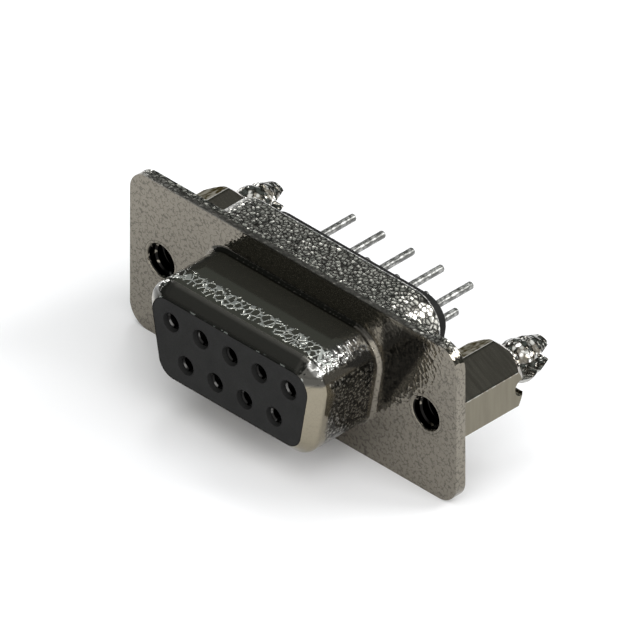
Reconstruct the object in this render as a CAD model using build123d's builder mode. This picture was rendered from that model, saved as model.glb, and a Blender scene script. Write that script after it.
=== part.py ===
from build123d import *
from math import cos, radians, sin, tan
import os

# Nine-way D-subminiature socket for a circuit board, in millimetres.
# The origin is the middle of the flange's front face. X runs along the flange, -Y points
# out of the mating face, +Y along the solder tails, and +Z to the wide side of the D.

# Sheet metal: its thickness, the slope of the D's sides, and how far a section that is swept
# round the D runs into the flat plates beside it
sheet = 0.42
side_angle = 10.0
section_overlap = 0.2

# Contact layout, which the widths of the shells follow
contact_pitch = 2.77
row_spacing = 2.84
top_row_count = 5
bottom_row_count = 4

# Flange and its two holes
flange_rim = 0.815
flange_corner = 1.7
shroud_to_hole = 4.33
hole_to_flange_end = 2.91
flange_hole_radius = 1.52

# Front shell, the D-shaped shroud that a plug slides over
contact_to_shroud_end = 2.625
shroud_height = 7.90
shroud_corner = 2.2
shroud_reach = 5.98
shroud_bend = 0.35
lip_inset = 0.85
lip_angle = 47.0
lip_bend = 0.5

# Rear shell, the drawn cup that holds the insulators
cup_end_step = 1.475
cup_side_step = 1.51
cup_corner = 2.4
cup_reach = 4.52
cup_bend = 0.5
cup_edge_radius = 0.5

# Insulators
fit_clearance = 0.05
insulator_joint = 1.9
tail_block_end_step = 1.36
tail_block_side_step = 1.66
tail_block_corner = 1.8
tail_block_reach = 6.2
block_edge_break = 0.12
collar_edge_break = 0.3

# Turned socket contacts
contact_clearance = 0.03
mouth_recess = 0.35
sleeve_radius = 0.75
sleeve_edge_break = 0.1
socket_radius = 0.52
socket_depth = 5.6
socket_lead_in = 0.1
tine_slot_width = 0.25
tine_slot_length = 3.6
stop_radius = 0.95
stop_length = 1.0
barrel_recess = 0.4
barrel_taper = 0.5
tail_radius = 0.28
tail_length = 5.1
tail_tip_round = 0.14

# Holes in the insulators' faces: funnels at the front, and a broken edge at the rear
funnel_radius = 0.74
funnel_throat_radius = 0.64
tail_hole_break = 0.15

# Threaded standoffs with split board pins
standoff_clearance = 0.02
hex_across_flats = 4.76
hex_length = 6.21
hex_chamfer_angle = 50.0
hex_rear_radius = 2.2
hex_front_radius = 2.3
thread_bore_radius = 1.19
thread_mouth_break = 0.12
thread_depth = 5.0
drill_point_angle = 118.0
neck_radius = 1.25
neck_length = 0.9
ridge_radius = 1.56
ridge_length = 1.5
ridge_to_nose = 0.25
nose_radius = 1.37
nose_length = 1.25
tip_radius = 0.98
tip_round = 0.15
saw_width = 1.3
bore_to_saw = 0.355

# Sizes that follow from those above
shroud_width = (top_row_count - 1) * contact_pitch + 2 * contact_to_shroud_end
hole_spacing = shroud_width + 2 * shroud_to_hole
flange_width = hole_spacing + 2 * hole_to_flange_end
cup_width = shroud_width + 2 * cup_end_step
cup_height = shroud_height + 2 * cup_side_step
flange_height = cup_height + 2 * flange_rim
tail_block_width = cup_width - 2 * tail_block_end_step
tail_block_height = cup_height - 2 * tail_block_side_step
flange_back = 2 * sheet
lean = radians(side_angle)
mouth_y = mouth_recess - shroud_reach


def across(y):
    """The plane across the connector at y, drawn as seen from the front."""
    return Plane.XZ.offset(-y)


def turning_plane(x, z):
    """The plane through a turned part's axis: rearwards first, then outwards."""
    return Plane(origin=(x, 0, z), x_dir=(0, 1, 0), z_dir=(1, 0, 0))


def turning_axis(x, z):
    """The axis that a turned part is revolved about."""
    return Axis((x, 0, z), (0, 1, 0))


def drill_point(radius):
    """The length of a drilled hole's conical end."""
    return radius / tan(radians(drill_point_angle / 2))


def d_corners(width, height, corner):
    """The sharp corners of a D whose rounded outline measures width by height."""
    half_height = height / 2
    reach = corner + (width / 2 - corner) * cos(lean) - (half_height - corner) * sin(lean)
    top = (reach + half_height * sin(lean)) / cos(lean)
    bottom = (reach - half_height * sin(lean)) / cos(lean)
    return [(top, half_height), (bottom, -half_height), (-bottom, -half_height), (-top, half_height)]


def d_outline(width, height, corner, mode=Mode.ADD):
    """A rounded D, drawn inside a BuildSketch."""
    with BuildLine() as outline:
        FilletPolyline(*d_corners(width, height, corner), radius=corner, close=True)
    make_face(outline.edges(), mode=mode)


def d_path(width, height, corner):
    """A rounded D as a wire that starts at the middle of its wide side."""
    wide_middle = (0, height / 2)
    narrow_middle = (0, -height / 2)
    right, low_right, low_left, left = d_corners(width, height, corner)
    with BuildLine(across(0)) as path:
        FilletPolyline(wide_middle, right, low_right, narrow_middle, radius=corner)
        FilletPolyline(narrow_middle, low_left, left, wide_middle, radius=corner)
    return path.wire()


def flange_outline():
    """The flange's rounded plate with its two fixing holes, drawn inside a BuildSketch."""
    RectangleRounded(flange_width, flange_height, flange_corner)
    with GridLocations(hole_spacing, 1, 2, 1):
        Circle(flange_hole_radius, mode=Mode.SUBTRACT)


def row_places(count, z):
    """The X and Z of one row of contacts."""
    return [((i - (count - 1) / 2) * contact_pitch, z) for i in range(count)]


top_row = row_places(top_row_count, row_spacing / 2)
bottom_row = row_places(bottom_row_count, -row_spacing / 2)
contact_places = top_row + bottom_row
os.makedirs("parts", exist_ok=True)


# Front shell: a flange plate, and the drawn sheet's section swept round the D, from the
# bend at the flange to the lip, which is bent inwards and trimmed flush with the insulator
lip_slope = radians(lip_angle)
shroud_top = shroud_height / 2
shroud_bend_top = shroud_top + shroud_bend
shroud_inside = shroud_top - sheet
lip_edge = shroud_top - lip_inset
lip_corner = lip_inset / tan(lip_slope) - shroud_reach
lip_turn = lip_corner + lip_bend * tan(lip_slope / 2)
lip_back = sheet / sin(lip_slope) - shroud_reach
lip_inside_corner = lip_back + (lip_inset - sheet) / tan(lip_slope)

with BuildPart() as front_shell:
    with BuildSketch(across(0)):
        flange_outline()
        d_outline(
            shroud_width + 2 * shroud_bend,
            shroud_height + 2 * shroud_bend,
            shroud_corner + shroud_bend,
            mode=Mode.SUBTRACT,
        )
    extrude(amount=-sheet)
    with BuildSketch(Plane.YZ):
        with BuildLine():
            Polyline(
                (sheet, shroud_bend_top),
                (sheet, shroud_bend_top + section_overlap),
                (0, shroud_bend_top + section_overlap),
                (0, shroud_bend_top),
            )
            RadiusArc((0, shroud_bend_top), (-shroud_bend, shroud_top), shroud_bend)
            FilletPolyline(
                (-shroud_bend, shroud_top),
                (lip_corner, shroud_top),
                (-shroud_reach, lip_edge),
                radius=lip_bend,
            )
            Line((-shroud_reach, lip_edge), (lip_back, lip_edge))
            FilletPolyline(
                (lip_back, lip_edge),
                (lip_inside_corner, shroud_inside),
                (-shroud_bend, shroud_inside),
                radius=lip_bend - sheet,
            )
            RadiusArc((-shroud_bend, shroud_inside), (sheet, shroud_bend_top), -shroud_bend - sheet)
        make_face()
    sweep(path=d_path(shroud_width, shroud_height, shroud_corner))

front_shell.part.label = "front_shell"
export_step(front_shell.part, "parts/front_shell.step")


# Rear shell: the same flange plate behind the first, and a drawn cup whose end wall is
# pierced for the insulator
cup_top = cup_height / 2
cup_bend_top = cup_top + cup_bend
cup_bend_end = flange_back + cup_bend
cup_edge_start = cup_reach - cup_edge_radius
cup_wall_top = cup_top - cup_edge_radius
cup_inside = cup_top - sheet
cup_end_inside = cup_reach - sheet
cup_edge_inside = cup_edge_radius - sheet

with BuildPart() as rear_shell:
    with BuildSketch(across(sheet)):
        flange_outline()
        d_outline(
            cup_width + 2 * cup_bend,
            cup_height + 2 * cup_bend,
            cup_corner + cup_bend,
            mode=Mode.SUBTRACT,
        )
    extrude(amount=-sheet)
    with BuildSketch(Plane.YZ):
        with BuildLine():
            Polyline(
                (sheet, cup_bend_top),
                (sheet, cup_bend_top + section_overlap),
                (flange_back, cup_bend_top + section_overlap),
                (flange_back, cup_bend_top),
            )
            RadiusArc((flange_back, cup_bend_top), (cup_bend_end, cup_top), -cup_bend)
            Line((cup_bend_end, cup_top), (cup_edge_start, cup_top))
            RadiusArc((cup_edge_start, cup_top), (cup_reach, cup_wall_top), cup_edge_radius)
            Polyline(
                (cup_reach, cup_wall_top),
                (cup_reach, cup_wall_top - section_overlap),
                (cup_end_inside, cup_wall_top - section_overlap),
                (cup_end_inside, cup_wall_top),
            )
            RadiusArc((cup_end_inside, cup_wall_top), (cup_edge_start, cup_inside), -cup_edge_inside)
            Line((cup_edge_start, cup_inside), (cup_bend_end, cup_inside))
            RadiusArc((cup_bend_end, cup_inside), (sheet, cup_bend_top), cup_bend + sheet)
        make_face()
    sweep(path=d_path(cup_width, cup_height, cup_corner))
    with BuildSketch(across(cup_reach)):
        d_outline(
            cup_width - 2 * cup_edge_radius,
            cup_height - 2 * cup_edge_radius,
            cup_corner - cup_edge_radius,
        )
    extrude(amount=sheet)
    with BuildSketch(across(cup_reach)):
        d_outline(
            tail_block_width + 2 * fit_clearance,
            tail_block_height + 2 * fit_clearance,
            tail_block_corner + fit_clearance,
        )
    extrude(amount=sheet, mode=Mode.SUBTRACT)

rear_shell.part.label = "rear_shell"
export_step(rear_shell.part, "parts/rear_shell.step")


# Front insulator: a nose that fills the lip, a body inside the shroud, and a collar that is
# clamped behind the flange. Each contact has a cavity, and a funnel that guides a pin into it
nose_cut = lip_inset + fit_clearance
body_cut = sheet + fit_clearance
stop_front = insulator_joint - stop_length

with BuildPart() as front_insulator:
    with BuildSketch(across(-shroud_reach)):
        d_outline(shroud_width - 2 * nose_cut, shroud_height - 2 * nose_cut, shroud_corner - nose_cut)
    extrude(amount=-shroud_reach - lip_back)
    with BuildSketch(across(lip_back)):
        d_outline(shroud_width - 2 * nose_cut, shroud_height - 2 * nose_cut, shroud_corner - nose_cut)
    with BuildSketch(across(lip_turn)):
        d_outline(shroud_width - 2 * body_cut, shroud_height - 2 * body_cut, shroud_corner - body_cut)
    loft(ruled=True)
    with BuildSketch(across(lip_turn)):
        d_outline(shroud_width - 2 * body_cut, shroud_height - 2 * body_cut, shroud_corner - body_cut)
    extrude(amount=lip_turn - insulator_joint)
    with BuildSketch(across(sheet + fit_clearance)):
        d_outline(cup_width - 2 * body_cut, cup_height - 2 * body_cut, cup_corner - body_cut)
    extrude(amount=sheet + fit_clearance - insulator_joint)
    for x, z in contact_places:
        with BuildSketch(turning_plane(x, z)):
            with BuildLine():
                Polyline(
                    (-shroud_reach, 0),
                    (-shroud_reach, funnel_radius),
                    (mouth_y - contact_clearance, funnel_throat_radius),
                    (mouth_y - contact_clearance, sleeve_radius + contact_clearance),
                    (stop_front - contact_clearance, sleeve_radius + contact_clearance),
                    (stop_front - contact_clearance, stop_radius + contact_clearance),
                    (insulator_joint, stop_radius + contact_clearance),
                    (insulator_joint, 0),
                    close=True,
                )
            make_face()
        revolve(axis=turning_axis(x, z), mode=Mode.SUBTRACT)

front_insulator.part.label = "front_insulator"
export_step(front_insulator.part, "parts/front_insulator.step")


# Rear insulator: a collar that fills the cup, and a block that stands out of it
collar_back = cup_end_inside - fit_clearance

with BuildPart() as rear_insulator:
    with BuildSketch(across(insulator_joint)):
        d_outline(cup_width - 2 * body_cut, cup_height - 2 * body_cut, cup_corner - body_cut)
    extrude(amount=insulator_joint - collar_back)
    chamfer(rear_insulator.faces().sort_by(Axis.Y)[-1].edges(), length=collar_edge_break)
    with BuildSketch(across(insulator_joint)):
        d_outline(tail_block_width, tail_block_height, tail_block_corner)
    extrude(amount=insulator_joint - tail_block_reach)
    fillet(rear_insulator.faces().sort_by(Axis.Y)[-1].edges(), radius=block_edge_break)
    for x, z in contact_places:
        with BuildSketch(turning_plane(x, z)):
            with BuildLine():
                Polyline(
                    (insulator_joint, 0),
                    (insulator_joint, sleeve_radius + contact_clearance),
                    (tail_block_reach - tail_hole_break, sleeve_radius + contact_clearance),
                    (tail_block_reach, sleeve_radius + contact_clearance + tail_hole_break),
                    (tail_block_reach, 0),
                    close=True,
                )
            make_face()
        revolve(axis=turning_axis(x, z), mode=Mode.SUBTRACT)

rear_insulator.part.label = "rear_insulator"
export_step(rear_insulator.part, "parts/rear_insulator.step")


# Contacts: turned sockets with a sleeve slotted into two tines, a stop that is trapped
# between the insulators, and a round solder tail
socket_bottom = mouth_y + socket_depth
barrel_end = tail_block_reach - barrel_recess
barrel_back = barrel_end + barrel_taper
tail_reach = tail_block_reach + tail_length

for number, (x, z) in enumerate(contact_places, start=1):
    with BuildPart() as contact:
        with BuildSketch(turning_plane(x, z)):
            with BuildLine():
                Polyline(
                    (socket_bottom + drill_point(socket_radius), 0),
                    (socket_bottom, socket_radius),
                    (mouth_y + socket_lead_in, socket_radius),
                    (mouth_y, socket_radius + socket_lead_in),
                    (mouth_y, sleeve_radius - sleeve_edge_break),
                    (mouth_y + sleeve_edge_break, sleeve_radius),
                    (stop_front, sleeve_radius),
                    (stop_front, stop_radius),
                    (insulator_joint, stop_radius),
                    (insulator_joint, sleeve_radius),
                    (barrel_end, sleeve_radius),
                    (barrel_back, tail_radius),
                    (tail_reach - tail_tip_round, tail_radius),
                )
                RadiusArc(
                    (tail_reach - tail_tip_round, tail_radius),
                    (tail_reach, tail_radius - tail_tip_round),
                    tail_tip_round,
                )
                Polyline(
                    (tail_reach, tail_radius - tail_tip_round),
                    (tail_reach, 0),
                    (socket_bottom + drill_point(socket_radius), 0),
                )
            make_face()
        revolve(axis=turning_axis(x, z))
        with BuildSketch(across(mouth_y)):
            with Locations((x, z)):
                Rectangle(tine_slot_width, 2 * stop_radius)
        extrude(amount=-tine_slot_length, mode=Mode.SUBTRACT)

    contact.part.label = f"contact_{number}"
    export_step(contact.part, f"parts/contact_{number}.step")


# Standoffs: a shank staked in the flange holes, a tapped hexagon behind the flange, and a
# pin that is sawn into two prongs to snap into the board
hex_corner_radius = hex_across_flats / 2 / cos(radians(30))
chamfer_rise = tan(radians(hex_chamfer_angle))
front_chamfer = (hex_corner_radius - hex_front_radius) * chamfer_rise
rear_chamfer = (hex_corner_radius - hex_rear_radius) * chamfer_rise
standoff_reach = flange_back + hex_length
ridge_start = standoff_reach + neck_length
ridge_crest = ridge_start + ridge_length / 2
ridge_end = ridge_start + ridge_length
nose_start = ridge_end + ridge_to_nose
board_pin_reach = nose_start + nose_length
tip_start = board_pin_reach - tip_round
bore_bottom = thread_depth + drill_point(thread_bore_radius)
saw_centre = bore_bottom + bore_to_saw + saw_width / 2

for name, x in (("left_standoff", -hole_spacing / 2), ("right_standoff", hole_spacing / 2)):
    with BuildPart() as standoff:
        with BuildSketch(across(flange_back)):
            with Locations((x, 0)):
                RegularPolygon(hex_across_flats / 2, 6, major_radius=False, rotation=30)
        extrude(amount=flange_back - standoff_reach)
        with BuildSketch(turning_plane(x, 0)):
            with BuildLine():
                Polyline(
                    (flange_back, 0),
                    (flange_back, hex_front_radius),
                    (flange_back + front_chamfer, hex_corner_radius),
                    (standoff_reach - rear_chamfer, hex_corner_radius),
                    (standoff_reach, hex_rear_radius),
                    (standoff_reach, 0),
                    close=True,
                )
            make_face()
        revolve(axis=turning_axis(x, 0), mode=Mode.INTERSECT)
        with BuildSketch(across(0)):
            with Locations((x, 0)):
                Circle(flange_hole_radius - standoff_clearance)
        extrude(amount=-flange_back)
        with BuildSketch(turning_plane(x, 0)):
            with BuildLine():
                ThreePointArc(
                    (ridge_start, neck_radius),
                    (ridge_crest, ridge_radius),
                    (ridge_end, neck_radius),
                )
                Polyline((ridge_end, neck_radius), (nose_start, nose_radius), (tip_start, tip_radius))
                RadiusArc((tip_start, tip_radius), (board_pin_reach, tip_radius - tip_round), tip_round)
                Polyline(
                    (board_pin_reach, tip_radius - tip_round),
                    (board_pin_reach, 0),
                    (standoff_reach, 0),
                    (standoff_reach, neck_radius),
                    (ridge_start, neck_radius),
                )
            make_face()
        revolve(axis=turning_axis(x, 0))
        with BuildSketch(Plane.YZ.offset(x)):
            with Locations((saw_centre, 0)):
                Circle(saw_width / 2)
            with Locations(((saw_centre + board_pin_reach) / 2, 0)):
                Rectangle(board_pin_reach - saw_centre, saw_width)
        extrude(amount=hex_corner_radius, both=True, mode=Mode.SUBTRACT)
        with BuildSketch(turning_plane(x, 0)):
            with BuildLine():
                Polyline(
                    (0, 0),
                    (0, thread_bore_radius + thread_mouth_break),
                    (thread_mouth_break, thread_bore_radius),
                    (thread_depth, thread_bore_radius),
                    (bore_bottom, 0),
                    close=True,
                )
            make_face()
        revolve(axis=turning_axis(x, 0), mode=Mode.SUBTRACT)

    standoff.part.label = name
    export_step(standoff.part, f"parts/{name}.step")
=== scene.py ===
from math import cos, pi, radians, sin, tan
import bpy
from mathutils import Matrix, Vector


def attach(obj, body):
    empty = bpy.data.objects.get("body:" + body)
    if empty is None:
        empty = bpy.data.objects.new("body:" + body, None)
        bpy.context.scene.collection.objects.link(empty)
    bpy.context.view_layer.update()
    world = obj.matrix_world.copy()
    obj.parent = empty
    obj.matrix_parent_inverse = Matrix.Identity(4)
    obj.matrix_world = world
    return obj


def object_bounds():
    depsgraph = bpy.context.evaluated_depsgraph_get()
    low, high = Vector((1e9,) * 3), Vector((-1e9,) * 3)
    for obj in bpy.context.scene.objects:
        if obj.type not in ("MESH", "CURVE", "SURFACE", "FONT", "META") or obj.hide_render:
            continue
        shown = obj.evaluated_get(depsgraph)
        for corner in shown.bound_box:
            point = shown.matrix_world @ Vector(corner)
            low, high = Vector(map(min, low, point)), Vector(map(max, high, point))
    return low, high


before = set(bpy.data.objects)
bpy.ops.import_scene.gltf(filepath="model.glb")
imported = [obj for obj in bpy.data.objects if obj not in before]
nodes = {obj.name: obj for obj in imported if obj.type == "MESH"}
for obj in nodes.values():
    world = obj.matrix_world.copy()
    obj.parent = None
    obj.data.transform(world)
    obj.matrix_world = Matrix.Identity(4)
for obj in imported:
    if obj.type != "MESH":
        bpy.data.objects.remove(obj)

from types import SimpleNamespace

import bmesh
import bpy
from mathutils import Vector

MM = 0.001
cad_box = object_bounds()

# Sizes that the looks share with the solids, in millimetres
HOLE_SPACING = 24.99
THREAD_BORE_RADIUS = 1.19
HEXAGON_END = 7.05


class Shading:
    """One material's node tree, worked in millimetres of the part's own frame."""

    def __init__(self, name):
        self.material = bpy.data.materials.new(name)
        self.material.use_nodes = True
        self.nodes = self.material.node_tree.nodes
        self.links = self.material.node_tree.links
        self.nodes.clear()
        metres = self.nodes.new("ShaderNodeTexCoord").outputs["Object"]
        self.place = self.stretch(metres, (1 / MM, 1 / MM, 1 / MM))
        axes = self.node("ShaderNodeSeparateXYZ", Vector=self.place)
        self.x, self.y, self.z = axes.outputs

    def node(self, kind, **inputs):
        """A node with its inputs set from numbers or linked from sockets."""
        made = self.nodes.new(kind)
        for name, value in inputs.items():
            self.feed(made.inputs[name.replace("_", " ")], value)
        return made

    def feed(self, socket, value):
        """Link a socket to an input, or set the input to a number or a colour."""
        if isinstance(value, bpy.types.NodeSocket):
            self.links.new(value, socket)
        elif socket.type == "RGBA":
            socket.default_value = (*value, 1.0)
        else:
            socket.default_value = value

    def stretch(self, vector, scale):
        return self.node("ShaderNodeMapping", Vector=vector, Scale=scale).outputs["Vector"]

    def noise(self, scale, detail=2.0, vector=None):
        """A value from 0 to 1, with the scale in features a millimetre."""
        texture = self.node(
            "ShaderNodeTexNoise", Vector=vector or self.place, Scale=scale, Detail=detail
        )
        return texture.outputs["Fac"]

    def wander(self, scale, reach):
        """The place, pushed about by noise by up to about the reach in millimetres."""
        noise = self.node("ShaderNodeTexNoise", Vector=self.place, Scale=scale, Detail=1.0)
        push = self.nodes.new("ShaderNodeVectorMath")
        push.operation = "MULTIPLY_ADD"
        self.feed(push.inputs[0], noise.outputs["Color"])
        self.feed(push.inputs[1], (reach, reach, reach))
        self.feed(push.inputs[2], self.place)
        return push.outputs["Vector"]

    def cells(self, scale, vector, feature="F1"):
        """The distance to the nearest cell's middle, or to its edge."""
        texture = self.node("ShaderNodeTexVoronoi", Vector=vector, Scale=scale)
        texture.feature = feature
        return texture.outputs["Distance"]

    def reckon(self, operation, a, b=0.0, c=0.0):
        """The result of one Math operation."""
        made = self.nodes.new("ShaderNodeMath")
        made.operation = operation
        for socket, value in zip(made.inputs, (a, b, c)):
            self.feed(socket, value)
        return made.outputs["Value"]

    def times(self, first, *others):
        for other in others:
            first = self.reckon("MULTIPLY", first, other)
        return first

    def plus(self, first, *others):
        for other in others:
            first = self.reckon("ADD", first, other)
        return first

    def most(self, first, *others):
        """The largest of several values."""
        for other in others:
            first = self.reckon("MAXIMUM", first, other)
        return first

    def slide(self, value, low, high, at_low, at_high):
        """A smooth step from one amount to another as the value goes from low to high."""
        step = self.nodes.new("ShaderNodeMapRange")
        step.interpolation_type = "SMOOTHSTEP"
        settings = (value, low, high, at_low, at_high)
        for socket, setting in zip(step.inputs, settings):
            self.feed(socket, setting)
        return step.outputs["Result"]

    def rise(self, value, low, high):
        """0 below two limits and 1 above them."""
        return self.slide(value, low, high, 0.0, 1.0)

    def fall(self, value, low, high, most=1.0):
        """The most below two limits and 0 above them."""
        return self.slide(value, low, high, most, 0.0)

    def within(self, value, low, high, soft):
        """1 between two limits and 0 outside them, with soft edges."""
        above = self.rise(value, low - soft, low + soft)
        below = self.fall(value, high - soft, high + soft)
        return self.times(above, below)

    def ramp(self, value, *stops):
        """A colour looked up from a value, from (position, colour) stops."""
        made = self.node("ShaderNodeValToRGB", Fac=value)
        for element, (position, colour) in zip(made.color_ramp.elements, stops):
            element.position = position
            element.color = (*colour, 1.0)
        return made.outputs["Color"]

    def blend(self, amount, a, b):
        """Colour a at 0 and colour b at 1."""
        mix = self.nodes.new("ShaderNodeMix")
        mix.data_type = "RGBA"
        sockets = [mix.inputs[i] for i in (0, 6, 7)]
        for socket, value in zip(sockets, (amount, a, b)):
            self.feed(socket, value)
        return mix.outputs[2]

    def bump(self, height, depth, under=None):
        """A normal that follows a height, where 1 is the depth in millimetres."""
        made = self.node("ShaderNodeBump", Height=height, Distance=depth * MM, Strength=1.0)
        if under is not None:
            self.feed(made.inputs["Normal"], under)
        return made.outputs["Normal"]

    def finish(self, **inputs):
        surface = self.node("ShaderNodeBsdfPrincipled", **inputs)
        self.node("ShaderNodeOutputMaterial", Surface=surface.outputs["BSDF"])
        return self.material


# Metal that the shells and the standoffs share

NICKEL = (0.226, 0.207, 0.172)
NICKEL_GRIME = (0.122, 0.112, 0.093)
# Painted colours: shade on the shroud, the shroud's reflection on the flange, and shade in the
# bores
NICKEL_PAINTED_SHADE = (0.04, 0.038, 0.033)
NICKEL_PAINTED_REFLECTION = (0.018, 0.017, 0.0145)
NICKEL_BORE_SHADE = (0.010, 0.0095, 0.009)
NICKEL_ROUGHNESS = 0.06
CUP_NICKEL = (0.88, 0.86, 0.79)
# Dark gaps between the cup's dimples, and painted shade near the flange
CUP_GAP_AND_SHADE = (0.045, 0.043, 0.038)

# Features a millimetre
PLATE_PEBBLES = 3.3
FINE_GRAIN = 9.0

# Beside a gap, in widths of a dimple: where the dark ends, and how wide the change to metal is
PLATE_GAP = (0.02, 0.14)
RIM_GAP = (0.04, 0.22)
CUP_DIMPLE_GAP = (0.05, 0.30)

# How far noise closes the gaps, also in widths of a dimple, and where in the noise it does
MANY_CLOSED = 0.3
FEW_CLOSED = 0.05
CLOSING_NOISE = (0.46, 0.62)


def hammered(s, scale, metal, gap, gap_widths, closed=MANY_CLOSED):
    """Dimples for a bump, and the metal's colour with dark gaps between the dimples, some of
    which noise closes."""
    dark, change = gap_widths
    # Pushed about by up to 0.3 of a dimple, by noise a little coarser than the dimples
    spot = s.wander(scale * 0.8, 0.3 / scale)
    middle = s.cells(scale, spot)
    edge = s.cells(scale, spot, "DISTANCE_TO_EDGE")
    filling = s.slide(s.noise(scale), *CLOSING_NOISE, 0.0, closed)
    colour = s.ramp(s.plus(edge, filling), (dark, gap), (dark + change, metal))
    return s.times(middle, middle), colour


# Front shell

TOP_NICKEL = (0.20, 0.195, 0.165)
ROLL_NICKEL = (0.285, 0.255, 0.190)
# Painted shade on the shroud's lip
LIP_SHADE_NICKEL = (0.065, 0.063, 0.056)
SPECK_NICKEL = (0.34, 0.33, 0.30)
# Darkened as painted shade on the turned sides, and the dark between the corner's painted
# highlight facets
CORNER_SHADE_NICKEL = (0.16, 0.158, 0.150)
# Painted highlight facets on the corner strip
FACET_HIGHLIGHT_NICKEL = (0.50, 0.495, 0.475)
# Painted highlight on the creases and the front edge
CREASE_HIGHLIGHT_NICKEL = (0.36, 0.375, 0.355)
RIM_NICKEL = (0.26, 0.255, 0.235)
# Painted shade on the middle of the rim
RIM_SHADED = (0.08, 0.077, 0.069)
TOP_METALLIC = 0.92
SIDE_METALLIC = 0.965
FRONT_DEPTH = 0.05
FRONT_GRAIN_DEPTH = 0.0012

# Heights of the reliefs, as shares of the front depth
PLATE_RELIEF = 0.3
SPECK_RELIEF = 0.4
CREASE_RELIEF = 0.4
CRUMPLE_RELIEF = 2.2
RIM_RELIEF = 0.6

# The roughness of a fully dull zone, and how near to it the others come
DULL_ROUGHNESS = 0.32
SPECK_DULL = 0.6
SHOULDER_DULL = 0.9
TOP_DULL = 0.12

# How fully a zone's colour covers what lies under it
ROLL_COVER = 0.8
REFLECTION_COVER = 0.85
RIM_SHADE_COVER = 0.8

# Features a millimetre
RIM_PEBBLES = 2.7
CREASES = 2.3
CRUMPLES = 2.9
SPECKS = 4.2
TICKS = 1.4
RAGGED_EDGE = 1.2

# Where in their noise the creases and ticks come in, and a crease's soft edge in mesh widths
CREASE_NOISE = (0.28, 0.42)
TICK_NOISE = (0.54, 0.6)
CREASE_EDGE = (0.05, 0.17)

# How far the ragged edges wave and how much shorter the dark lip is at the corners, in
# millimetres
RAGGED_REACH = 0.8
LIP_SHORTER = 0.45

# Soft edges of the zones, each from where it starts to where it ends, in millimetres. An X
# here is a distance from the middle.
PLATE_Y = (-0.3, -0.1)
TUBE_Y = (-0.5, -0.3)
ROOT_Y = (-0.42, -0.3)
ROOT_END_Y = (-0.01, 0.0)
SIDE_Y = (-0.62, -0.5)
ROLL_Y = (-4.3, -3.7)
LIP_Y = (-5.0, -4.85)
SHOULDER_Y = (-4.95, -4.8)
EDGE_Y = (-5.93, -5.90)
SIDE_X = (6.2, 7.0)
CORNER_X = (6.2, 6.7)
RIM_SHADE_X = (9.5, 11.5)
RIM_Z = (6.1, 6.25)
TOP_Z = (2.9, 3.4)
BAND_Z = (2.9, 3.5)
TURNED_Z = (2.4, 2.7)
LIP_Z = (2.3, 2.7)
TICK_Z = (2.6, 3.0)

# Zones between two limits, with half the width of their soft edges
CORNER_STRIP_Z = (3.05, 3.8, 0.12)
SIDE_Z = (-5.0, 2.5, 0.1)
BAND_Y = (-4.15, -2.8, 0.15)
ROOT_Z = (3.5, 4.4, 0.1)

# A painted reflection of the shroud's side: a dark patch right of the shroud's root. It lies
# above a line that climbs to the right, and the two numbers of the line are its soft edge at X
# 0.
REFLECTION_SLOPE = 1.63
REFLECTION_LINE = (-15.7, -14.9)
REFLECTION_X = (8.2, 8.7)
REFLECTION_TOP_Z = (5.6, 6.2)


def creases(s, scale):
    """A net of bright lines of uneven length, with long meshes."""
    spot = s.stretch(s.wander(scale * 0.8, 0.25 / scale), (1.0, 0.75, 1.0))
    line = s.fall(s.cells(scale, spot, "DISTANCE_TO_EDGE"), *CREASE_EDGE)
    return s.times(line, s.rise(s.noise(scale * 0.7), *CREASE_NOISE))


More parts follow.
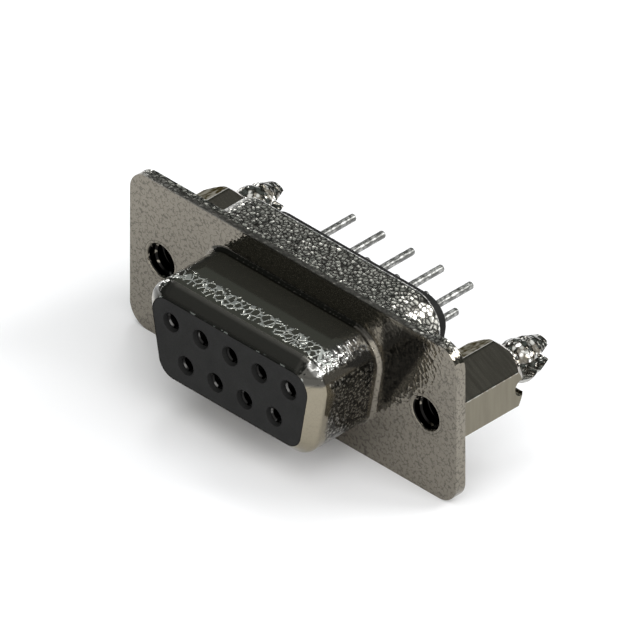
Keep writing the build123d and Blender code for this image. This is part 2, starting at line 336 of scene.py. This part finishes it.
def front_shell_zones(s, across):
    """Masks that are above 0 in a zone of the front shell and 0 outside it. Across is the
    distance from the middle."""
    zone = SimpleNamespace()
    tube = s.fall(s.y, *TUBE_Y)
    beside = s.times(s.rise(across, *SIDE_X), s.fall(s.y, *SIDE_Y))
    ragged = s.reckon("MULTIPLY_ADD", s.noise(RAGGED_EDGE), RAGGED_REACH, s.y)

    # The flange, its upper rim, painted shade on the bend into it and a painted reflection of
    # the shroud's side on it
    zone.plate = s.rise(s.y, *PLATE_Y)
    zone.rim = s.times(zone.plate, s.rise(s.z, *RIM_Z))
    # Painted shade on the bend from the shroud's top into the flange
    zone.root = s.times(s.rise(s.y, *ROOT_Y), s.fall(s.y, *ROOT_END_Y), s.within(s.z, *ROOT_Z))
    # A painted reflection of the shroud's side on the flange
    line = s.reckon("MULTIPLY_ADD", s.x, -REFLECTION_SLOPE, s.z)
    patch = s.times(s.rise(line, *REFLECTION_LINE), s.rise(s.x, *REFLECTION_X))
    zone.patch = s.times(patch, s.fall(s.z, *REFLECTION_TOP_Z, REFLECTION_COVER), zone.plate)

    # The shroud's top, its turn to the sides with a crumpled strip, and the speckled sides;
    # the turn and the sides are darkened as painted shade
    zone.top = s.times(s.rise(s.z, *TOP_Z), tube)
    # The turn to the sides is darkened as painted shade
    zone.turned = s.times(beside, s.rise(s.z, *TURNED_Z))
    zone.corner = s.times(s.rise(across, *CORNER_X), s.within(s.z, *CORNER_STRIP_Z), tube)
    zone.speckled = s.times(beside, s.within(s.z, *SIDE_Z), s.rise(ragged, *ROLL_Y))

    # The shroud's front: the smooth roll at the sides, the lip darkened as painted shade, and
    # the dull shoulder
    zone.roll = s.times(s.fall(ragged, *ROLL_Y, ROLL_COVER), s.fall(s.z, *TURNED_Z), tube)
    lip_y = s.reckon("MULTIPLY_ADD", zone.corner, LIP_SHORTER, s.y)
    zone.lip = s.times(s.fall(lip_y, *LIP_Y), s.rise(s.z, *LIP_Z))
    shoulder_end = s.fall(across, *CORNER_X, SHOULDER_DULL)
    zone.shoulder = s.times(zone.top, s.fall(s.y, *SHOULDER_Y), shoulder_end)

    # The creases across the top and ticks on the front edge, painted pale as painted
    # highlights
    band = s.times(s.within(ragged, *BAND_Y), s.rise(s.z, *BAND_Z))
    zone.creased = s.times(creases(s, CREASES), band)
    front_edge = s.times(s.fall(s.y, *EDGE_Y), s.rise(s.z, *TICK_Z))
    zone.ticks = s.times(front_edge, s.rise(s.noise(TICKS), *TICK_NOISE))
    return zone


def shroud_nickel():
    """The front shell: a pebbled plate with a painted reflection of the shroud, speckled sides
    and a lip darkened as painted shade, crumpled corners with painted highlight facets, and a
    smooth top with one band of creases painted pale as painted highlights across it."""
    s = Shading("shroud_nickel")
    across = s.reckon("ABSOLUTE", s.x)
    zone = front_shell_zones(s, across)
    pebbles, colour = hammered(s, PLATE_PEBBLES, NICKEL, NICKEL_GRIME, PLATE_GAP)
    rim_pebbles, rim_colour = hammered(
        s, RIM_PEBBLES, RIM_NICKEL, CUP_GAP_AND_SHADE, RIM_GAP, closed=FEW_CLOSED
    )
    # The crumple is a relief, and the pale facets over it are painted highlights
    crumple = s.noise(CRUMPLES, 1.0)
    highlight_facets = s.ramp(crumple, (0.47, CORNER_SHADE_NICKEL), (0.56, FACET_HIGHLIGHT_NICKEL))
    # The sides are painted dark as painted shade, with lighter specks as painted highlights
    speck_middle = s.cells(SPECKS, s.wander(3.0, 0.1))
    specks_and_shade = s.ramp(speck_middle, (0.25, SPECK_NICKEL), (0.55, NICKEL_PAINTED_SHADE))
    # The rim's middle, behind the shroud, is darkened as painted shade
    rim_shade = s.fall(across, *RIM_SHADE_X, RIM_SHADE_COVER)
    rim_colour = s.blend(rim_shade, rim_colour, RIM_SHADED)
    # Painted highlights on the creases and the front edge
    painted_highlights = s.most(zone.creased, zone.ticks)

    # Each coat lies over the ones before it
    coats = (
        (zone.roll, ROLL_NICKEL),
        (zone.top, TOP_NICKEL),
        (zone.turned, CORNER_SHADE_NICKEL),
        (zone.corner, highlight_facets),
        (zone.lip, LIP_SHADE_NICKEL),
        (zone.patch, NICKEL_PAINTED_REFLECTION),
        (zone.speckled, specks_and_shade),
        (zone.root, NICKEL_PAINTED_SHADE),
        (zone.rim, rim_colour),
        (painted_highlights, CREASE_HIGHLIGHT_NICKEL),
    )
    for mask, coat in coats:
        colour = s.blend(mask, colour, coat)

    pebbled = s.plus(s.times(zone.plate, PLATE_RELIEF), s.times(zone.speckled, SPECK_RELIEF))
    height = s.plus(
        s.times(pebbles, pebbled),
        s.times(zone.creased, CREASE_RELIEF),
        s.times(crumple, zone.corner, CRUMPLE_RELIEF),
        s.times(rim_pebbles, zone.rim, RIM_RELIEF),
    )
    dull = s.most(
        painted_highlights,
        s.times(zone.speckled, SPECK_DULL),
        zone.rim,
        zone.shoulder,
        s.times(zone.top, TOP_DULL),
    )
    return s.finish(
        Base_Color=colour,
        Metallic=s.slide(zone.top, 0.0, 1.0, SIDE_METALLIC, TOP_METALLIC),
        Roughness=s.slide(dull, 0.0, 1.0, NICKEL_ROUGHNESS, DULL_ROUGHNESS),
        Normal=s.bump(height, FRONT_DEPTH, s.bump(s.noise(FINE_GRAIN), FRONT_GRAIN_DEPTH)),
    )


# Rear shell

CUP_DIMPLES = 3.0
CUP_ROUGHNESS = 0.26
CUP_DEPTH = 0.034
CUP_GRAIN_DEPTH = 0.003
CUP_PLATE_RELIEF = 0.4
CUP_SHADE_COVER = 0.55

# Soft edges, in millimetres, as for the front shell
FLANGE_END_Y = (0.82, 0.9)
FLANGE_TOP_Z = (5.6, 6.2)
CUP_START_Y = (0.8, 0.9)
CUP_SHADE_Y = (0.9, 3.0)


def cup_nickel():
    """The rear shell: a hammered cup with painted shade near the flange, and a plate like the
    front shell's.
    """
    s = Shading("cup_nickel")
    dimples, colour = hammered(
        s, CUP_DIMPLES, CUP_NICKEL, CUP_GAP_AND_SHADE, CUP_DIMPLE_GAP, closed=FEW_CLOSED
    )
    pebbles, plate_colour = hammered(s, PLATE_PEBBLES, NICKEL, NICKEL_GRIME, PLATE_GAP)
    plate = s.times(s.fall(s.y, *FLANGE_END_Y), s.fall(s.z, *FLANGE_TOP_Z))
    cup_height = s.times(dimples, s.fall(plate, 0.0, 1.0))
    height = s.plus(cup_height, s.times(pebbles, plate, CUP_PLATE_RELIEF))
    # Painted shade on the cup, darkest next to the flange
    shaded = s.times(s.fall(s.y, *CUP_SHADE_Y, CUP_SHADE_COVER), s.rise(s.y, *CUP_START_Y))
    return s.finish(
        Base_Color=s.blend(plate, s.blend(shaded, colour, CUP_GAP_AND_SHADE), plate_colour),
        Metallic=1.0,
        Roughness=s.slide(plate, 0.0, 1.0, CUP_ROUGHNESS, NICKEL_ROUGHNESS),
        Normal=s.bump(height, CUP_DEPTH, s.bump(s.noise(FINE_GRAIN), CUP_GRAIN_DEPTH)),
    )


# Standoffs

WHITE = (1.0, 1.0, 1.0)
HEX_NICKEL = (0.165, 0.150, 0.115)
HEX_STREAK = (0.185, 0.170, 0.130)
HEX_PALE = (0.270, 0.260, 0.235)
# The dark of the upper left flat's mottle, a painted reflection
HEX_MOTTLE_DARK = (0.075, 0.069, 0.056)
# Lighter copies of the nickel for the upper right flat, as painted light
HEX_LIT_SATIN = (0.40, 0.34, 0.30)
HEX_LIT_BRIGHT = (0.50, 0.43, 0.38)
# Painted glints on the upper right flat's edge, also a tint in the upper left flat's painted
# mottle
HEX_GLINT = (0.42, 0.41, 0.37)
PIN_NICKEL = (0.52, 0.515, 0.49)
PIN_ROUGHNESS = 0.14
STANDOFF_DEPTH = 0.075
STREAK_DEPTH = 0.003
SHANK_RELIEF = 0.22
GLINT_NOISE = (0.52, 0.58)

# Features a millimetre, and how much the two kinds of lines are drawn out
STREAKS = 3.0
STREAK_STRETCH = (1.0, 1.0, 0.12)
DRAWN_LINES = 4.0
DRAWN_STRETCH = (0.1, 1.0, 0.1)
MOTTLES = 2.6
EDGE_GLINTS = 2.4
PIN_DENTS = 3.0
BORE_SHADE_GAPS = 1.8

# Soft edges and a zone, in millimetres, as for the front shell. An X is from the hole's axis.
PIN_Y = (HEXAGON_END - 0.1, HEXAGON_END + 0.1)
SHANK_Y = (0.0, 0.1)
BORE_RADIUS = (1.24, 1.27)
BORE_END_Y = (5.7, 5.9)
BORE_DEPTHS_Y = (0.6, 1.2)
UPPER_FLAT_Z = (1.25, 1.5)
LEFT_FLAT_X = (-0.3, 0.1)
RIGHT_FLAT_X = (0.0, 0.2)
GLINT_EDGE_Z = (1.30, 1.42, 0.03)


def hexagon_flats(s, out, pin, streaks):
    """The flats' colour, and the tint of what they reflect at a slant. The upper left flat has
    a mottle of painted reflection in its colour and its tint, the upper right one is painted
    lighter as painted light, with drawn lines and painted glints on its edge, and the rest are
    faintly streaked."""
    upper = s.rise(s.z, *UPPER_FLAT_Z)
    left = s.fall(out, *LEFT_FLAT_X)
    right = s.rise(out, *RIGHT_FLAT_X)
    # The upper left flat's mottle, in colour and tint, is a painted reflection
    mottles = s.noise(MOTTLES, 1.0)
    reflection_mottle = s.ramp(mottles, (0.42, HEX_MOTTLE_DARK), (0.58, HEX_PALE))
    sheen = s.ramp(mottles, (0.42, HEX_PALE), (0.58, HEX_GLINT))
    # The upper right flat is painted lighter as painted light, with drawn lines
    lines = s.noise(DRAWN_LINES, vector=s.stretch(s.place, DRAWN_STRETCH))
    lit_drawn = s.ramp(lines, (0.35, HEX_LIT_SATIN), (0.65, HEX_LIT_BRIGHT))
    # Painted glints along the upper right flat's edge
    glint_noise = s.rise(s.noise(EDGE_GLINTS, 1.0), *GLINT_NOISE)
    painted_edge_glints = s.times(s.within(s.z, *GLINT_EDGE_Z), right, glint_noise)

    colour = s.ramp(streaks, (0.35, HEX_NICKEL), (0.65, HEX_STREAK))
    colour = s.blend(s.times(upper, left), colour, reflection_mottle)
    colour = s.blend(s.times(upper, right), colour, lit_drawn)
    colour = s.blend(painted_edge_glints, colour, HEX_GLINT)
    off_pin = s.fall(pin, 0.0, 1.0)
    return colour, s.blend(s.times(upper, left, off_pin), WHITE, sheen)


def standoff_nickel():
    """The standoffs: streaked flats, some with painted light, dented board pins and bores
    darkened with painted shade.
    """
    s = Shading("standoff_nickel")
    pebbles, face_colour = hammered(s, PLATE_PEBBLES, NICKEL, NICKEL_GRIME, PLATE_GAP)
    pin = s.rise(s.y, *PIN_Y)
    shank = s.fall(s.y, *SHANK_Y)
    axis_x = s.times(s.reckon("SIGN", s.x), HOLE_SPACING / 2)
    out = s.reckon("SUBTRACT", s.x, axis_x)
    radius = s.reckon("SQRT", s.plus(s.times(out, out), s.times(s.z, s.z)))
    bore = s.times(s.fall(radius, *BORE_RADIUS), s.fall(s.y, *BORE_END_Y))
    # Painted shade in the bores, broken near the mouth by patches of plain nickel where the
    # thread's crests catch light
    shade_gaps = s.ramp(s.noise(BORE_SHADE_GAPS, 1.0), (0.58, NICKEL_BORE_SHADE), (0.64, NICKEL))
    bore_shade = s.blend(s.rise(s.y, *BORE_DEPTHS_Y), shade_gaps, NICKEL_BORE_SHADE)
    streaks = s.noise(STREAKS, vector=s.stretch(s.place, STREAK_STRETCH))
    flats, tint = hexagon_flats(s, out, pin, streaks)
    dents = s.cells(PIN_DENTS, s.wander(2.0, 0.15))
    pins = s.ramp(dents, (0.3, PIN_NICKEL), (0.65, NICKEL_GRIME))
    colour = s.blend(pin, s.blend(shank, flats, face_colour), pins)
    height = s.plus(s.times(dents, dents, pin), s.times(pebbles, shank, SHANK_RELIEF))
    return s.finish(
        Base_Color=s.blend(bore, colour, bore_shade),
        Specular_Tint=tint,
        Metallic=1.0,
        Roughness=s.slide(pin, 0.0, 1.0, NICKEL_ROUGHNESS, PIN_ROUGHNESS),
        Normal=s.bump(height, STANDOFF_DEPTH, s.bump(streaks, STREAK_DEPTH)),
    )


# Contacts

TIN = (0.42, 0.42, 0.405)
TIN_DULL = (0.15, 0.15, 0.143)
TIN_ROUGHNESS = 0.34
# Painted shade in the sockets, with grey patches of painted highlight
SOCKET_SHADE = (0.018, 0.0175, 0.017)
SOCKET_GLINT = (0.12, 0.118, 0.114)
TIN_DEPTH = 0.03

# Features a millimetre
TIN_LUMPS = 2.4
TIN_GRAIN = 5.0
SOCKET_GLINT_PATCHES = 1.6

# The soft edge between the socket's metal and the tail's, in millimetres
TAIL_START_Y = (5.7, 6.0)


def bright_tin():
    """The contacts: dipped tin in patches, and sockets darkened with painted shade, with grey
    patches of painted highlight.
    """
    s = Shading("bright_tin")
    lumps = s.cells(TIN_LUMPS, s.wander(2.5, 0.2))
    patches = s.plus(lumps, s.times(s.noise(TIN_GRAIN), 0.4))
    tail = s.ramp(patches, (0.35, TIN), (0.8, TIN_DULL))
    # The sockets inside the insulator are darkened as painted shade, with grey patches of
    # painted highlight
    socket = s.ramp(s.cells(SOCKET_GLINT_PATCHES, s.place), (0.3, SOCKET_GLINT), (0.45, SOCKET_SHADE))
    return s.finish(
        Base_Color=s.blend(s.rise(s.y, *TAIL_START_Y), socket, tail),
        Metallic=1.0,
        Roughness=TIN_ROUGHNESS,
        Normal=s.bump(s.times(lumps, lumps), TIN_DEPTH),
    )


# Insulators

BLACK = (0.0150, 0.0150, 0.0145)
BLACK_WORN = (0.0190, 0.0190, 0.0185)
BLACK_CLOUDS = 0.7
BLACK_ROUGHNESS = (0.7, 0.55)
BLACK_DEPTH = 0.004


def black_plastic():
    """The insulators: matte black moulded plastic with a fine eroded grain."""
    s = Shading("black_plastic")
    grain = s.noise(FINE_GRAIN, 3.0)
    return s.finish(
        Base_Color=s.ramp(s.noise(BLACK_CLOUDS), (0.3, BLACK), (0.7, BLACK_WORN)),
        Roughness=s.slide(grain, 0.3, 0.7, *BLACK_ROUGHNESS),
        Specular_IOR_Level=0.08,
        Normal=s.bump(grain, BLACK_DEPTH),
    )


shell_metal = shroud_nickel()
cup_metal = cup_nickel()
standoff_metal = standoff_nickel()
contact_metal = bright_tin()
insulator_plastic = black_plastic()

finishes = {
    "front_shell": shell_metal,
    "rear_shell": cup_metal,
    "front_insulator": insulator_plastic,
    "rear_insulator": insulator_plastic,
    "left_standoff": standoff_metal,
    "right_standoff": standoff_metal,
}
for name, node in nodes.items():
    node.data.materials[0] = finishes.get(name, contact_metal)


# Threads of the two jackscrew holes, in millimetres, with the flanks' angle in degrees

THREAD_PITCH = 0.635
THREAD_CREST_RADIUS = 1.04
THREAD_SEAT_RADIUS = THREAD_BORE_RADIUS + 0.01
THREAD_CREST_WIDTH = 0.09
THREAD_FLANK_ANGLE = 30
THREAD_START = 0.16
THREAD_TURNS = 7
THREAD_END_HEIGHT = 0.05
STEPS_A_TURN = 64
STEPS_TO_FULL_HEIGHT = STEPS_A_TURN / 4


def thread(name, x):
    """A right-hand internal thread as one ridge that winds along the wall of the hole at x."""
    flank_width = (THREAD_SEAT_RADIUS - THREAD_CREST_RADIUS) * tan(radians(THREAD_FLANK_ANGLE))
    root = THREAD_CREST_WIDTH / 2 + flank_width
    crest = THREAD_CREST_WIDTH / 2
    section = [
        (-root, THREAD_SEAT_RADIUS),
        (-crest, THREAD_CREST_RADIUS),
        (crest, THREAD_CREST_RADIUS),
        (root, THREAD_SEAT_RADIUS),
    ]
    mesh = bmesh.new()
    rings = []
    steps = THREAD_TURNS * STEPS_A_TURN
    for step in range(steps + 1):
        turn = 2 * pi * step / STEPS_A_TURN
        from_end = min(step, steps - step) / STEPS_TO_FULL_HEIGHT
        height = min(1.0, THREAD_END_HEIGHT + from_end)
        middle = THREAD_START + root + THREAD_PITCH * step / STEPS_A_TURN
        ring = []
        for along, radius in section:
            r = THREAD_SEAT_RADIUS - (THREAD_SEAT_RADIUS - radius) * height
            point = Vector((x + r * sin(turn), middle + along, r * cos(turn)))
            ring.append(mesh.verts.new(point * MM))
        rings.append(ring)
    for one, two in zip(rings, rings[1:]):
        for i in range(len(section)):
            j = (i + 1) % len(section)
            mesh.faces.new((one[i], one[j], two[j], two[i]))
    mesh.faces.new(rings[0][::-1])
    mesh.faces.new(rings[-1])
    bmesh.ops.recalc_face_normals(mesh, faces=mesh.faces)
    data = bpy.data.meshes.new(name)
    mesh.to_mesh(data)
    mesh.free()
    data.materials.append(standoff_metal)
    piece = bpy.data.objects.new(name, data)
    bpy.context.scene.collection.objects.link(piece)
    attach(piece, "root")


thread("left_thread", -HOLE_SPACING / 2)
thread("right_thread", HOLE_SPACING / 2)


# Floor

FLOOR_SIZE = 3.0
FLOOR_WHITE = (0.90, 0.90, 0.91)
FLOOR_WHITER = (0.91, 0.91, 0.92)
FLOOR_CLOUDS = 0.004


def white_floor():
    """Plain white paper, with clouds too faint and wide to notice."""
    s = Shading("floor_white")
    clouds = s.noise(FLOOR_CLOUDS)
    return s.finish(
        Base_Color=s.ramp(clouds, (0.3, FLOOR_WHITE), (0.7, FLOOR_WHITER)),
        Roughness=0.9,
        Specular_IOR_Level=0.1,
    )


bpy.ops.mesh.primitive_plane_add(size=FLOOR_SIZE, location=(0, 0, cad_box[0].z))
floor = bpy.context.object
floor.name = "floor"
floor.data.materials.append(white_floor())


# Studio: a sky that is dark behind the object and pale over the near right, and soft lamps

SKY_NEAR_RIGHT = (0.7, -0.7, 0.0)
SKY_STOPS = (
    (0.15, (0.10, 0.113, 0.105)),
    (0.55, (1.5, 1.5, 1.5)),
)


def studio_sky():
    world = bpy.data.worlds.new("studio")
    bpy.context.scene.world = world
    world.use_nodes = True
    tree = world.node_tree.nodes
    links = world.node_tree.links
    tree.clear()
    direction = tree.new("ShaderNodeTexCoord")
    nearness = tree.new("ShaderNodeVectorMath")
    nearness.operation = "DOT_PRODUCT"
    nearness.inputs[1].default_value = SKY_NEAR_RIGHT
    sky = tree.new("ShaderNodeValToRGB")
    for element, (position, colour) in zip(sky.color_ramp.elements, SKY_STOPS):
        element.position = position
        element.color = (*colour, 1.0)
    background = tree.new("ShaderNodeBackground")
    output = tree.new("ShaderNodeOutputWorld")
    links.new(direction.outputs["Generated"], nearness.inputs[0])
    links.new(nearness.outputs["Value"], sky.inputs["Fac"])
    links.new(sky.outputs["Color"], background.inputs["Color"])
    links.new(background.outputs["Background"], output.inputs["Surface"])


def stand(thing, place, outward):
    """Put a lamp or a camera at a place, turned to look against the outward direction."""
    thing.location = place
    thing.rotation_mode = "QUATERNION"
    thing.rotation_quaternion = outward.to_track_quat("Z", "Y")
    bpy.context.scene.collection.objects.link(thing)


def lamp(name, direction, distance, size, radiance):
    """A square soft lamp that faces the object. The radiance is what its face shows."""
    data = bpy.data.lights.new(name, "AREA")
    data.shape = "SQUARE"
    data.size = size
    area = size * size
    data.energy = radiance * pi * area
    outward = Vector(direction).normalized()
    stand(bpy.data.objects.new(name, data), outward * distance, outward)


studio_sky()
lamp("overhead", (0.0, 0.0, 1.0), distance=0.6, size=0.78, radiance=1.1)
lamp("back_right", (0.9, 1.1, 1.05), distance=0.8, size=0.34, radiance=7.5)
lamp("right", (0.9, 0.15, 0.5), distance=0.8, size=0.26, radiance=7.0)
lamp("back_left", (-0.33, 0.38, 0.86), distance=0.6, size=0.135, radiance=7.0)
lamp("low_back_left", (-0.85, 0.40, 0.34), distance=0.8, size=0.17, radiance=8.0)
lamp("left", (-1.0, 0.15, 0.12), distance=0.8, size=0.2, radiance=5.0)


# Camera: the photograph is an isometric drawing, with no perspective

VIEW_WIDTH = 42.695
VIEW_TARGET = Vector((0.80, 1.73, 0.94))
VIEW_DISTANCE = 200.0

camera_data = bpy.data.cameras.new("camera")
camera_data.type = "ORTHO"
camera_data.ortho_scale = VIEW_WIDTH * MM
camera = bpy.data.objects.new("camera", camera_data)
towards_camera = Vector((1, -1, 1)).normalized()
camera_place = (VIEW_TARGET + towards_camera * VIEW_DISTANCE) * MM
stand(camera, camera_place, towards_camera)
bpy.context.scene.camera = camera
bpy.context.scene.view_settings.view_transform = "Standard"

bpy.context.view_layer.update()
